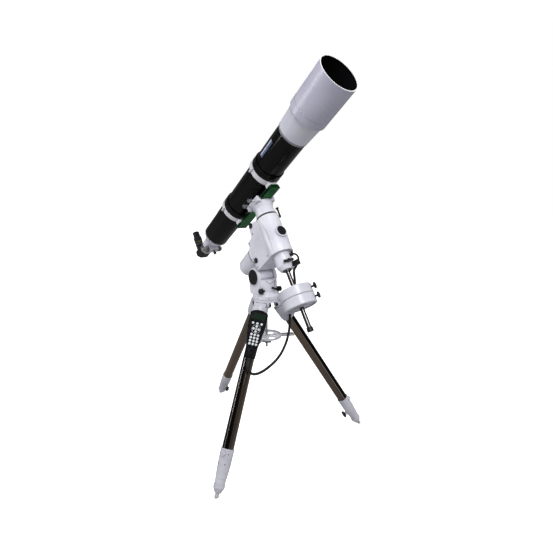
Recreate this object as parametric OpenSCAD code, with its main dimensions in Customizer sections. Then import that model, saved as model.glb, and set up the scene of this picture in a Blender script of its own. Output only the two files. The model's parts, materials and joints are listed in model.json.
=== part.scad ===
// Refractor telescope on a computerised equatorial mount and a steel tripod.
// Millimetres. The origin is on the floor under the azimuth axis, +Z is up and
// +X is the heading of the polar axis. Three frames are used besides the floor's:
// leg_frame (origin beside the hinge, the leg runs down -Z), head_frame (origin where
// the polar and declination axes cross, X along the polar axis, Z along the
// declination axis) and tube_frame (X along the optical axis).

/* [Tripod] */
// Outside diameter of a steel leg tube
leg_d = 44.5; // [44:0.1:45]
// Angle of a leg from the vertical
leg_spread = 32.25; // [32:0.05:32.4]
// Height of the leg hinges above the floor
hinge_z = 600; // [598:1:601]
// Distance of a leg hinge from the azimuth axis
hinge_r = 40; // [39.6:0.1:40.4]
// Height of the spreader tray's plate
tray_z = 450; // [448:0.5:450]

/* [Mount] */
// Altitude of the polar axis above the horizon
latitude = 34; // [33.9:0.1:34.1]
// Height of the altitude pivot
pivot_z = 711; // [710:0.5:712]
// Height of the crossing of the polar and declination axes
cross_z = 881; // [880.5:0.5:881.5]
// Distance of that crossing in front of the azimuth axis
cross_x = 58; // [57.5:0.5:58.5]
// Diameter of the counterweight shaft
cw_shaft_d = 18; // [17.5:0.1:18.2]
// Diameter of a counterweight
weight_d = 130; // [120:1:134]

/* [Telescope] */
// Outside diameter of the main tube
tube_d = 119.2; // [119:0.1:119.4]
// Outside diameter of the dew shield
dew_d = 144.8; // [144:0.2:146]
// Distance from the axes' crossing to the optical axis
tube_h = 250; // [249.5:0.5:251]
// Station of the dew shield's front rim, ahead of the declination axis
rim_x = 565; // [560:1:570]
// Station of the tube's rear end, behind the declination axis
tail_x = 409; // [408:1:410]

/* [Handset] */
// Length of the hand controller
handset_l = 186; // [180:1:190]
// Thickness of the hand controller
handset_t = 28; // [24:1:30]

/* [Hidden] */
$fn = 64;
EPS = 0.01;
// Radial gap of a running fit
RUN = 0.05;

// ---------- frames ----------
FRONT = -60;
RIGHT = 60;
REAR = 180;
leg_r = leg_d / 2;
// The tube's axis runs this far outside its hinge
leg_offset = 13;
leg_len = (hinge_z + leg_offset * sin(leg_spread)) / cos(leg_spread);

module leg_frame(azimuth) {
  rotate([0, 0, azimuth]) translate([hinge_r, 0, hinge_z]) rotate([0, -leg_spread, 0]) {
    translate([leg_offset, 0, 0]) children();
  }
}
module head_frame() { translate([cross_x, 0, cross_z]) rotate([0, -latitude, 0]) children(); }
module tube_frame() { head_frame() translate([0, 0, tube_h]) children(); }

// The altitude pivot seen in the head's own frame
pivot_x = -27;
pivot_dx = (pivot_x - cross_x) * cos(latitude) + (pivot_z - cross_z) * sin(latitude);
pivot_dz = -(pivot_x - cross_x) * sin(latitude) + (pivot_z - cross_z) * cos(latitude);

// ---------- shapes ----------
// Cylinder along X from x0 to x1, with an end radius for a cone
module rod_x(x0, x1, r, r_end = -1) {
  translate([x0, 0, 0]) rotate([0, 90, 0]) cylinder(h = x1 - x0, r1 = r, r2 = r_end < 0 ? r : r_end);
}
// Cylinder along Y from y0 to y1
module rod_y(y0, y1, r) { translate([0, y1, 0]) rotate([90, 0, 0]) cylinder(h = y1 - y0, r = r); }
// Cylinder along Z from z0 to z1, with an end radius for a cone
module rod_z(z0, z1, r, r_end = -1) {
  translate([0, 0, z0]) cylinder(h = z1 - z0, r1 = r, r2 = r_end < 0 ? r : r_end);
}
// Box between two corners
module span(low, high) { translate(low) cube(high - low); }
// Ring along X
module ring_x(x0, x1, r_in, r_out) {
  difference() {
    rod_x(x0, x1, r_out);
    rod_x(x0 - 1, x1 + 1, r_in);
  }
}
// T-handled hand knob: stem along +Z from z0 to z1, then a bar across it with round ends
module t_knob(stem_r, z0, z1, bar_l, bar_r) {
  rod_z(z0, z1, stem_r);
  rod_z(z1 - 1, z1 + 2 * bar_r, bar_r);
  translate([0, 0, z1 + bar_r]) {
    rod_x(-bar_l / 2 + bar_r, bar_l / 2 - bar_r, bar_r * 0.8);
    for (s = [-1, 1]) translate([s * (bar_l / 2 - bar_r), 0, 0]) sphere(r = bar_r);
  }
}

// ---------- tripod ----------
hub_top = 624;
hub_plate = 12;
hub_r = 56;
boss_r = 20;
boss_z = 585;
bolt_r = 4;
lug_in = 25;
lug_out = 33;
lug_r = 12;
peg_x = 28;
peg_r = 5;
peg_top = hub_top + 40;
rod_r = 5;

module at_hinges() { for (a = [FRONT, RIGHT, REAR]) rotate([0, 0, a]) translate([hinge_r, 0, hinge_z]) children(); }

module tripod_hub() color("white") {
  difference() {
    union() {
      rod_z(hub_top - hub_plate, hub_top - 1.5, hub_r);
      rod_z(hub_top - 1.5, hub_top, hub_r, hub_r - 1.5);
      rod_z(boss_z, hub_top - 1, boss_r);
      at_hinges() for (s = [-1, 1]) {
        translate([0, s * (lug_in + lug_out) / 2, 0]) rod_y(-(lug_out - lug_in) / 2, (lug_out - lug_in) / 2, lug_r);
        span([-lug_r, s > 0 ? lug_in : -lug_out, 0], [lug_r, s > 0 ? lug_out : -lug_in, hub_top - hub_plate - hinge_z + 1]);
      }
    }
    rod_z(boss_z - 1, hub_top + 1, rod_r + 1);
    at_hinges() rod_y(-60, 60, bolt_r + RUN);
  }
  // peg that the azimuth bolts push against
  translate([peg_x, 0, 0]) rod_z(hub_top - 1, peg_top, peg_r);
}
module hinge_bolts() color("black") {
  at_hinges() {
    rod_y(-lug_out - 1, lug_out + 1, bolt_r);
    for (s = [-1, 1]) translate([0, s * (lug_out + 2.7), 0]) rod_y(-2.4, 2.4, 7, $fn = 6);
  }
}
module centre_rod() color("silver") {
  rod_z(404, hub_top + 16, rod_r);
  rod_z(boss_z - 10, boss_z - 1, 13, $fn = 6);
}

// ---------- spreader tray ----------
tray_t = 4;
plate_reach = 120.5;
rib_reach = 116.5;
eyepiece_hole_r = 16.2;
module spreader_tray() color("silver") {
  difference() {
    union() {
      rod_z(tray_z, tray_z + tray_t, 64);
      difference() {
        rod_z(tray_z, tray_z + 9, 64);
        rod_z(tray_z + tray_t, tray_z + 10, 61);
      }
      for (a = [FRONT, RIGHT, REAR]) rotate([0, 0, a]) {
        span([50, -12, tray_z], [plate_reach, 12, tray_z + tray_t]);
        for (s = [-1, 1]) span([60, s * 10.5 - 1.5, tray_z], [rib_reach, s * 10.5 + 1.5, tray_z + 9]);
      }
      rod_z(tray_z - 3, tray_z + 8, 14);
    }
    rod_z(tray_z - 10, tray_z + 20, rod_r + 0.3);
    for (a = [0, 120, 240]) rotate([0, 0, a]) translate([39, 0, 0]) rod_z(tray_z - 1, tray_z + 8, eyepiece_hole_r);
    for (a = [FRONT, RIGHT, REAR]) rotate([0, 0, a]) for (r = [34, 84, 106]) {
      translate([r, 0, 0]) rod_z(tray_z - 1, tray_z + 12, 7.5);
    }
  }
}
module tray_knob() color("black") {
  difference() {
    union() {
      rod_z(tray_z - 28, tray_z - 4, 9);
      rotate([0, 0, 37]) {
        span([-13, -7, tray_z - 27], [13, 7, tray_z - 14]);
        for (s = [-1, 1]) translate([s * 13, 0, 0]) rod_z(tray_z - 27, tray_z - 14, 7);
      }
    }
    rod_z(tray_z - 30, tray_z, rod_r + RUN);
  }
}

// ---------- legs ----------
socket_top = -18;
socket_end = -85;
clamp_top = -(leg_len - 158);
clamp_end = -(leg_len - 62);
lock_z = -(leg_len - 82);
inner_r = 18.5;
pad_r = 8;
pad_h = 6;
foot_reach = hinge_r + leg_offset * cos(leg_spread) + leg_len * sin(leg_spread);

module leg_socket(azimuth) color("silver") leg_frame(azimuth) {
  difference() {
    union() {
      translate([-leg_offset, 0, 0]) rod_y(-lug_in + 1, lug_in - 1, 11);
      intersection() {
        span([-leg_offset - 11, -lug_in + 1, socket_top - 12], [9, lug_in - 1, 0]);
        rod_z(socket_top - 13, 1, 34);
      }
      rod_z(socket_end + 12, socket_top, 32, 34);
      rod_z(socket_end, socket_end + 12, 28.5, 32);
    }
    translate([-leg_offset, 0, 0]) rod_y(-40, 40, bolt_r + RUN);
    rod_z(socket_end - 1, -34, leg_r + RUN);
    // the sides under the hub's lugs are relieved
    for (s = [-1, 1]) translate([-leg_offset, s * (lug_in + 9), 0]) rod_y(-10, 10, lug_r + 2);
  }
}
module leg_tube(azimuth) color("dimgray") leg_frame(azimuth) {
  difference() {
    rod_z(clamp_top - 26, -36, leg_r);
    rod_z(clamp_top - 27, -35, leg_r - 1.6);
  }
}
module leg_clamp(azimuth) color("white") leg_frame(azimuth) {
  difference() {
    union() {
      rod_z(clamp_top - 46, clamp_top, 24.5, 25);
      rod_z(clamp_end, clamp_top - 46, 21, 24.5);
      // screw boss on the outer side, lock boss on the inner side
      translate([0, 0, clamp_top - 15]) rod_x(10, 28, 8);
      translate([0, 0, lock_z]) rod_x(-27, -12, 9);
    }
    rod_z(clamp_top - 28, clamp_top + 1, leg_r + RUN);
    rod_z(clamp_end - 1, clamp_top, inner_r + 0.08);
    translate([0, 0, lock_z]) rod_x(-34, -10, 4 + RUN);
  }
}
module leg_knob(azimuth) color("black") leg_frame(azimuth) translate([0, 0, lock_z]) rotate([0, -90, 0]) {
  t_knob(4, inner_r + 0.6, 29.5, 34, 6.5);
}
module lower_leg(azimuth) color("white") {
  sleeve_and_foot(azimuth);
  // upright round pad under the foot
  rotate([0, 0, azimuth]) translate([foot_reach, 0, 0]) {
    rod_z(0, pad_h, pad_r);
    translate([-2, 0, 0]) rod_z(pad_h - 1, pad_h + 4, 5.5);
  }
}
module sleeve_and_foot(azimuth) difference() {
  leg_frame(azimuth) {
    difference() {
      rod_z(-leg_len + 50, -110, inner_r);
      rod_z(-leg_len + 49, -109, inner_r - 1.5);
    }
    rod_z(-leg_len + 40, clamp_end - 0.5, 18.5, 20.5);
    rod_z(-leg_len + 30, -leg_len + 41, 20.5);
    rod_z(-leg_len + 15, -leg_len + 31, 12, 20.5);
    rod_z(-leg_len - 12, -leg_len + 16, 7.5);
  }
  span([-600, -600, -60], [600, 600, pad_h + 0.4]);
}

module front_leg_socket() leg_socket(FRONT);
module front_leg_tube() leg_tube(FRONT);
module front_leg_clamp() leg_clamp(FRONT);
module front_leg_knob() leg_knob(FRONT);
module front_lower_leg() lower_leg(FRONT);
module right_leg_socket() leg_socket(RIGHT);
module right_leg_tube() leg_tube(RIGHT);
module right_leg_clamp() leg_clamp(RIGHT);
module right_leg_knob() leg_knob(RIGHT);
module right_lower_leg() lower_leg(RIGHT);
module rear_leg_socket() leg_socket(REAR);
module rear_leg_tube() leg_tube(REAR);
module rear_leg_clamp() leg_clamp(REAR);
module rear_leg_knob() leg_knob(REAR);
module rear_lower_leg() lower_leg(REAR);

// ---------- azimuth base ----------
cheek_in = 33;
cheek_out = 46;
cheek_r = 38;
cap_r = 32.5;
flange_z0 = hub_top + 0.2;
flange_z1 = hub_top + 14;
az_bolt_z = 660;
alt_bolt_z = pivot_z - 39;
web_top = alt_bolt_z + 12;
wall_top = pivot_z - 7;
flare_top = flange_z1 + 17;
front_face = 43;
rear_face = -58;
az_knob_r = 11.5;
alt_bolt_r = 5;
lobe_w = 6;

module cheek_profile() {
  polygon([
    [-54, flange_z1 - 1], [36, flange_z1 - 1], [14, flare_top], [pivot_x + cheek_r, pivot_z],
    [pivot_x - cheek_r, pivot_z]
  ]);
  translate([pivot_x, pivot_z]) circle(r = cheek_r);
}
module azimuth_base() color("white") difference() {
  union() {
    rod_z(flange_z0, flange_z1, 58);
    difference() {
      union() {
        intersection() {
          rod_z(flange_z1 - 1, web_top, 58, 56);
          span([rear_face, -cheek_out, hub_top], [5, cheek_out, pivot_z]);
        }
        // round front wall, flared into the flange
        intersection() {
          union() {
            rod_z(flange_z1 - 1, flare_top, 57, front_face);
            rod_z(flare_top - 0.5, wall_top, front_face);
          }
          span([0, -cheek_out, hub_top], [front_face + 20, cheek_out, pivot_z]);
        }
      }
      // bay for the altitude lobe
      span([pivot_x - 25, -cheek_in, hub_top + 30], [pivot_x + 36, cheek_in, pivot_z]);
    }
    for (s = [-1, 1]) translate([0, s * (cheek_in + cheek_out) / 2, 0]) rotate([90, 0, 0]) {
      translate([0, 0, -(cheek_out - cheek_in) / 2]) linear_extrude(cheek_out - cheek_in) cheek_profile();
    }
    for (s = [-1, 1]) translate([pivot_x, 0, pivot_z]) {
      rod_y(s > 0 ? cheek_out - 1 : -cheek_out - 3, s > 0 ? cheek_out + 3 : -cheek_out + 1, 36);
    }
  }
  // pivot bores and the recesses of the altitude discs
  translate([pivot_x, 0, pivot_z]) rod_y(-80, 80, 14 + RUN);
  for (s = [-1, 1]) translate([pivot_x, 0, pivot_z]) {
    rod_y(s > 0 ? cheek_out - 2 : -cheek_out - 10, s > 0 ? cheek_out + 10 : -cheek_out + 2, cap_r + RUN);
  }
  // centre bore and bay for the peg
  rod_z(hub_top - 1, hub_top + 20, rod_r + RUN);
  span([peg_x - 8, -13, hub_top - 1], [peg_x + 8, 13, peg_top + 2]);
  // bolt bores
  translate([peg_x, 0, az_bolt_z]) rod_y(-80, 80, 4 + RUN);
  translate([0, 0, alt_bolt_z]) rod_x(-80, 80, alt_bolt_r + RUN);
  // hand clearance for the azimuth knobs
  for (s = [-1, 1]) translate([peg_x, s * 50, az_bolt_z]) rod_y(-15, 15, az_knob_r + 2.5);
}
module altitude_caps() color("black") for (s = [-1, 1]) translate([pivot_x, 0, pivot_z]) {
  rod_y(s > 0 ? cheek_out - 1.9 : -cheek_out - 4, s > 0 ? cheek_out + 4 : -cheek_out + 1.9, cap_r);
}
module azimuth_bolts() color("black") for (s = [-1, 1]) {
  translate([peg_x, 0, az_bolt_z]) rotate([s > 0 ? -90 : 90, 0, 0]) {
    rod_z(peg_r + 1.5, 42, 4);
    rod_z(41, 53, az_knob_r);
  }
}
module altitude_bolts() color("black") translate([pivot_x, 0, alt_bolt_z]) {
  rod_x(lobe_w / 2 + 3, 12, 3);
  // the front bolt is turned with a key in its end, the rear one by its knob
  difference() {
    rod_x(11, front_face - pivot_x + 24, alt_bolt_r);
    rod_x(front_face - pivot_x + 18, front_face - pivot_x + 25, 2.6);
  }
  rod_x(-54, -11, alt_bolt_r);
  rod_x(-12, -lobe_w / 2 - 3, 3);
  rod_x(-64, -53, 9);
}

// ---------- polar housing, on the altitude pivot ----------
flange_x = -122;
cap_x = -246;
barrel_bore = 26;
// The casting's axis lies this far below the polar axis
barrel_drop = 12;
ra_r = 18;

module polar_housing() color("white") head_frame() difference() {
  union() {
    translate([0, 0, -barrel_drop]) {
      rod_x(cap_x, flange_x - 22, 42, 50);
      rod_x(flange_x - 22, flange_x, 50, 53);
    }
    // neck down to the trunnion
    span([pivot_dx - 33, -cheek_in + 1.5, pivot_dz], [pivot_dx + 29, cheek_in - 1.5, -20]);
    translate([pivot_dx, 0, pivot_dz]) rod_y(-cheek_in + 1.5, cheek_in - 1.5, 33);
    translate([pivot_dx, 0, pivot_dz]) rod_y(-cheek_out + 2.5, cheek_out - 2.5, 14);
    // lobe between the altitude bolts
    translate([pivot_dx, 0, pivot_dz]) rotate([0, latitude, 0]) {
      span([-lobe_w / 2, -16, -46], [lobe_w / 2, 16, -20]);
    }
  }
  rod_x(cap_x - 1, flange_x + 1, barrel_bore);
}
module polar_end_cap() color("white") head_frame() difference() {
  union() {
    translate([0, 0, -barrel_drop]) {
      rod_x(cap_x - 9, cap_x - 0.6, 38, 41.5);
      rod_x(cap_x - 15, cap_x - 9, 29, 38);
    }
    rod_x(cap_x - 1, cap_x + 12, barrel_bore - 0.1);
  }
  rod_x(cap_x - 10, cap_x + 13, 20);
}
// Worm wheel fixed to the polar housing's flange; the head's shaft turns inside it
wheel_r = 36;
ra_wheel_x = -112;
module ra_worm_wheel() color("goldenrod") head_frame() {
  difference() {
    union() {
      rod_x(ra_wheel_x, ra_wheel_x + 10, wheel_r);
      rod_x(-160, ra_wheel_x + 1, barrel_bore - 0.1);
    }
    rod_x(-161, ra_wheel_x + 11, ra_r + RUN);
  }
}
module ra_clutch_lever() color("black") head_frame() {
  translate([flange_x - 12, 0, -barrel_drop]) rotate([-62, 0, 0]) {
    rod_z(52.4, 58, 7);
    rod_z(57, 67, 8);
    // handle, thicker at its end
    translate([0, 0, 62]) {
      rod_x(-24, 0, 3.5);
      rod_x(-31, -23, 5);
    }
  }
}

// ---------- declination housing, turns about the polar axis ----------
housing_top = 86;
housing_bottom = -78;
boss_bottom = -146;
lock_dz = 24;
journal_r = 22;
dec_wheel_r = 40;
dec_wheel_z = 62;
worm_r = 8;
worm_gap = 0.3;
dec_worm_x = -(dec_wheel_r + worm_r + worm_gap);
dec_worm_z = dec_wheel_z + 5;
ra_worm_x = ra_wheel_x + 5;
ra_worm_z = -(wheel_r + worm_r + worm_gap);
worm_half = 43;
arm_y = 46;
plug_r = 11;
plug_x = -60;
plug_z = 92;
port_r = 20;

// Side view of the casting's arm and worm box
module arm_profile() {
  polygon([
    [flange_x + 0.4, -84], [-10, -78.5], [20, -66], [30, 0], [10, 70], [-44, 103], [-52, 105],
    [-70, 105], [-75, 102], [-78, 92], [-84, 54], [-90, 49], [flange_x + 0.4, 45]
  ]);
}
module declination_housing() color("white") head_frame() difference() {
  union() {
    rod_z(housing_bottom, housing_top, 50, 46.5);
    rod_z(boss_bottom + 16, housing_bottom + 1, 35);
    rod_z(boss_bottom, boss_bottom + 16, 26, 35);
    intersection() {
      rotate([90, 0, 0]) translate([0, 0, -arm_y]) linear_extrude(2 * arm_y) arm_profile();
      // the arm's long edges are rounded
      translate([0, 0, 4]) rod_x(flange_x, 31, 102);
    }
    // rim of the polar port
    rod_x(30, 54, 24);
  }
  // the declination head turns in front of the worm box
  rod_z(housing_top, 130, 47);
  // wheel chamber, shaft chamber and top journal
  rod_z(dec_wheel_z - 3, dec_wheel_z + 13, dec_wheel_r + 1);
  rod_z(-20, dec_wheel_z + 1, 30);
  rod_z(dec_wheel_z + 12, housing_top + 1, journal_r + RUN);
  rod_z(boss_bottom - 1, -19, cw_shaft_d / 2 + RUN);
  // polar shaft chamber, wheel chamber and flange journal
  rod_x(flange_x - 1, ra_wheel_x + 13, wheel_r + 1);
  rod_x(ra_wheel_x + 12, -38, ra_r + 4);
  rod_x(28, 55, port_r + 0.1);
  // worm channels and the recesses of the cover plugs
  translate([dec_worm_x, 0, dec_worm_z]) rod_y(-worm_half - 1, worm_half + 1, worm_r + 1);
  translate([ra_worm_x, 0, ra_worm_z]) rod_y(-60, 60, worm_r + 1);
  for (s = [-1, 1]) translate([plug_x, s * arm_y, plug_z]) rod_y(-3, 3, plug_r + 0.1);
  // lock screw bore in the shaft boss
  translate([0, 0, boss_bottom + lock_dz]) rotate([0, 0, -15]) rod_x(8, 50, 4 + RUN);
}
module housing_plugs() color("black") head_frame() {
  rod_x(40, 56, port_r);
  for (s = [-1, 1]) {
    translate([plug_x, s * arm_y, plug_z]) rod_y(s > 0 ? -2.9 : -3, s > 0 ? 3 : 2.9, plug_r);
    translate([ra_worm_x, 0, ra_worm_z]) {
      rod_y(s > 0 ? worm_half + 0.5 : -arm_y - 3, s > 0 ? arm_y + 3 : -worm_half - 0.5, worm_r + 0.95);
      rod_y(s > 0 ? arm_y + 0.1 : -arm_y - 3, s > 0 ? arm_y + 3 : -arm_y - 0.1, plug_r);
    }
  }
}
module ra_shaft() color("gray") head_frame() difference() {
  union() {
    rod_x(-226, -40, ra_r);
    // bearing rings in the barrel
    for (x = [-222, -176]) rod_x(x, x + 12, barrel_bore - RUN);
    rod_x(-95, -39, ra_r + 3.9);
  }
  rod_x(-227, -39, 12);
}
module worm() {
  rod_y(-worm_half, worm_half, worm_r - 3);
  for (i = [-4:4]) translate([0, i * 3, 0]) rod_y(-0.8, 0.8, worm_r - 0.2);
  for (s = [-1, 1]) translate([0, s * 30, 0]) rod_y(-4, 4, worm_r + 0.95);
}
module ra_worm() color("gray") head_frame() translate([ra_worm_x, 0, ra_worm_z]) worm();
module declination_worm() color("gray") head_frame() translate([dec_worm_x, 0, dec_worm_z]) worm();
module declination_clutch_lever() color("black") head_frame() rotate([0, 0, 52]) {
  translate([0, 0, housing_top - 8]) rod_x(46.9, 52, 5);
  translate([52, 0, 0]) {
    rod_z(housing_top - 14, housing_top + 24, 4);
    rod_z(housing_top + 23, housing_top + 30, 4, 7);
  }
}
module shaft_lock_knob() color("black") head_frame() translate([0, 0, boss_bottom + lock_dz]) {
  rotate([0, 0, -15]) rotate([0, 90, 0]) rotate([0, 0, 90]) t_knob(4, cw_shaft_d / 2 + 0.6, 39, 44, 6);
}

// ---------- declination head, turns about the declination axis ----------
disc_z = 154;
bar_z0 = disc_z + 1.5;
bar_z1 = bar_z0 + 16;
bar_half = 22;
bar_half_top = 17;
jaw_top = disc_z + 14;

module declination_head() color("white") head_frame() difference() {
  union() {
    rod_z(housing_top + 1.6, 130, 43, 38);
    rod_z(130, 145, 38, 45);
    rod_z(145, disc_z, 45);
    // fixed jaw and the guide block of the moving jaw
    span([-42, bar_half - 6, disc_z - 8], [42, 38, jaw_top]);
    span([-42, -40, disc_z - 8], [42, -30, disc_z]);
    for (x = [-42, 30]) span([x, -46, disc_z - 8], [x + 12, -36, jaw_top]);
    span([-42, -46, disc_z - 8], [42, -40.4, jaw_top]);
  }
  rod_z(0, disc_z - 16, 14.05);
  // seat of the dovetail bar
  rotate([90, 0, 90]) translate([0, 0, -60]) linear_extrude(120) {
    polygon([
      [-bar_half - 0.6, disc_z], [bar_half + 0.6, disc_z], [bar_half_top + 0.6, bar_z1 + 2], [-bar_half_top - 0.6, bar_z1 + 2]
    ]);
  }
  for (x = [-20, 20]) translate([x, 0, disc_z + 5]) rod_y(-60, -30, 3 + RUN);
}
module declination_shaft() color("gray") head_frame() {
  difference() {
    union() {
      rod_z(-14, disc_z - 17, 14);
      rod_z(dec_wheel_z + 13, housing_top, journal_r);
    }
    rod_z(-15, disc_z - 16, 10);
  }
  difference() {
    rod_z(dec_wheel_z, dec_wheel_z + 10, dec_wheel_r);
    rod_z(dec_wheel_z - 1, dec_wheel_z + 11, 14.05);
  }
}
module saddle_clamp() color("white") head_frame() {
  rotate([90, 0, 90]) translate([0, 0, -29]) linear_extrude(58) {
    polygon([
      [-bar_half - 1, disc_z + 0.6], [-bar_half_top - 1.6, disc_z + 15], [-34, disc_z + 15], [-34, disc_z + 0.6]
    ]);
  }
  for (x = [-20, 20]) translate([x, 0, disc_z + 5]) {
    rod_y(-62, -34 + EPS, 3);
    rod_y(-76, -61, 7.5);
  }
}

// ---------- counterweights ----------
shaft_end = -399;
weight_t = 38.5;
weight_z = [-264, -303];

module counterweight_shaft() color("silver") head_frame() rod_z(shaft_end + 10, -24, cw_shaft_d / 2);
module toe_stop() color("black") head_frame() difference() {
  rod_z(shaft_end, shaft_end + 17, 12.5);
  rod_z(shaft_end + 9, shaft_end + 18, cw_shaft_d / 2 + RUN);
}
module weight(z) color("white") head_frame() translate([0, 0, z]) difference() {
  union() {
    rod_z(2.5, weight_t - 2.5, weight_d / 2);
    rod_z(0, 2.5, weight_d / 2 - 2.5, weight_d / 2);
    rod_z(weight_t - 2.5, weight_t, weight_d / 2, weight_d / 2 - 2.5);
  }
  rod_z(-1, weight_t + 1, cw_shaft_d / 2 + 0.08);
  translate([0, 0, weight_t / 2]) rotate([0, 0, 35]) rod_x(5, 80, 4 + RUN);
  // recess in the under face
  difference() {
    rod_z(-1, 4, weight_d / 2 - 9);
    rod_z(-2, 5, 24);
  }
}
module weight_knob(z) color("black") head_frame() translate([0, 0, z + weight_t / 2]) rotate([0, 0, 35]) rotate([0, 90, 0]) {
  t_knob(4, cw_shaft_d / 2 + 1, weight_d / 2 + 9, 26, 5.5);
}
module upper_weight() weight(weight_z[0]);
module upper_weight_knob() weight_knob(weight_z[0]);
module lower_weight() weight(weight_z[1]);
module lower_weight_knob() weight_knob(weight_z[1]);

// ---------- telescope tube ----------
tube_r = tube_d / 2;
dew_r = dew_d / 2;
step_x = 398;
joint_x = 307;
front_ring_x = 95;
rear_ring_x = -176;
ring_w = 22;
collar_w = 30;
ring_in = tube_r + 0.6;
ring_out = tube_r + 5.4;
hinge_y = -(ring_out + 3);
bar_rear = -190;
bar_front = 115;

module dovetail_bar() color("green") head_frame() {
  difference() {
    rotate([90, 0, 90]) translate([0, 0, bar_rear]) linear_extrude(bar_front - bar_rear) {
      polygon([[-bar_half, bar_z0], [bar_half, bar_z0], [bar_half_top, bar_z1], [-bar_half_top, bar_z1]]);
    }
    for (x = [front_ring_x, rear_ring_x]) translate([x, 0, 0]) rod_z(bar_z0 - 1, bar_z1 + 1, 3.25);
  }
}
module ring_base(x) {
  difference() {
    union() {
      intersection() {
        ring_x(x - ring_w / 2, x + ring_w / 2, ring_in, ring_out);
        span([x - ring_w, -100, -100], [x + ring_w, 100, -0.3]);
      }
      difference() {
        span([x - ring_w / 2, -20, bar_z1 + 0.2 - tube_h], [x + ring_w / 2, 20, -tube_r + 2]);
        rod_x(x - ring_w, x + ring_w, ring_in);
      }
      // hinge knuckle and clamp lug
      translate([x, hinge_y, 0]) rod_x(-4, 4, 5);
      span([x - 4, hinge_y, -6], [x + 4, -ring_in - 0.5, -0.3]);
      span([x - ring_w / 2, ring_in + 0.8, -9], [x + ring_w / 2, ring_out + 13, -0.3]);
    }
    translate([x, hinge_y, 0]) rod_x(-20, 20, 2 + RUN);
    translate([x, ring_out + 6, 0]) rod_z(-12, 2, 4.2);
    // relief round the upper half's knuckles
    for (s = [-1, 1]) translate([x + s * 8.2, hinge_y, 0]) rod_x(-4, 4, 5.3);
  }
}
module ring_bases() color("white") tube_frame() for (x = [front_ring_x, rear_ring_x]) ring_base(x);
module ring_top(x) color("white") tube_frame() {
  difference() {
    union() {
      intersection() {
        ring_x(x - ring_w / 2, x + ring_w / 2, ring_in, ring_out);
        span([x - ring_w, -100, 0.3], [x + ring_w, 100, 100]);
      }
      difference() {
        span([x - ring_w / 2, -16, tube_r + 2], [x + ring_w / 2, 16, ring_out + 5]);
        rod_x(x - ring_w, x + ring_w, ring_in);
      }
      for (s = [-1, 1]) translate([x + s * 7.6, hinge_y, 0]) rod_x(-3.2, 3.2, 5);
      for (s = [-1, 1]) span([x + s * 7.6 - 3.2, hinge_y, 0.3], [x + s * 7.6 + 3.2, -ring_in - 0.5, 6]);
      span([x - ring_w / 2, ring_in + 0.8, 0.3], [x + ring_w / 2, ring_out + 13, 9]);
    }
    // relief round the lower half's knuckle
    translate([x, hinge_y, 0]) rod_x(-4.3, 4.3, 5.3);
  }
  // hinge pin, clamp knob and the stud on the top pad
  translate([x, hinge_y, 0]) rod_x(-10.8, 10.8, 2);
  translate([x, ring_out + 6, 0]) {
    rod_z(-11, 10, 3);
    rod_z(9, 22, 8);
  }
  translate([x, 0, 0]) rod_z(ring_out + 4, ring_out + 14, 3.175);
}
module front_ring_top() ring_top(front_ring_x);
module rear_ring_top() ring_top(rear_ring_x);

module main_tube() color("black") tube_frame() {
  ring_x(-tail_x, joint_x, tube_r - 2, tube_r);
  // raised collars in front of the rings
  for (x = [front_ring_x, rear_ring_x]) ring_x(x + ring_w / 2 + 1, x + ring_w / 2 + collar_w, tube_r - 0.5, ring_out - 1);
  // light baffles
  for (b = [[-250, 36], [-60, 43], [130, 50]]) ring_x(b[0], b[0] + 2, b[1], tube_r - 1.9);
}
module lens_cell() color("white") tube_frame() {
  difference() {
    union() {
      rod_x(joint_x - 1.5, joint_x + 4, tube_r + 1.6);
      rod_x(joint_x + 4, step_x, tube_r + 1.6, dew_r - 5.8);
      rod_x(step_x - EPS, step_x + 34, dew_r - 5.8);
      rod_x(joint_x - 20, joint_x, tube_r - 2.05);
    }
    rod_x(joint_x - 21, step_x + 6, tube_r - 5);
    rod_x(step_x + 5, step_x + 40, 60.6);
    // the bore behind the tube's front end
    ring_x(joint_x - 21, joint_x + 0.05, tube_r - 2.04, tube_r + 0.05);
  }
}
// Lens element between two spherical faces, as a turned profile
module lens(x, edge_t, sag_front, sag_back, r) {
  steps = 10;
  outline = concat(
    [for (i = [0:steps]) [r * i / steps, edge_t + sag_front * (1 - pow(i / steps, 2))]],
    [for (i = [steps:-1:0]) [r * i / steps, -sag_back * (1 - pow(i / steps, 2))]]
  );
  translate([x, 0, 0]) rotate([0, 90, 0]) rotate_extrude() polygon(outline);
}
module objective_lenses() color("lightblue") tube_frame() {
  lens(step_x + 18, 5, 3.2, 2.2, 60.4);
  lens(step_x + 8, 6, -2.6, 0.8, 60.4);
}
module dew_shield() color("white") tube_frame() {
  ring_x(step_x + 0.6, rim_x, dew_r - 2, dew_r);
  ring_x(step_x + 0.6, step_x + 28, dew_r - 5.7, dew_r - 1.9);
  ring_x(rim_x - 3, rim_x, dew_r - 3.2, dew_r - 1.9);
}

// ---------- focuser, diagonal and eyepiece ----------
focus_x = -495;
pinion_z = -36;
draw_r = 27;
diag_x = -584;
eye_x = -615;

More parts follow.
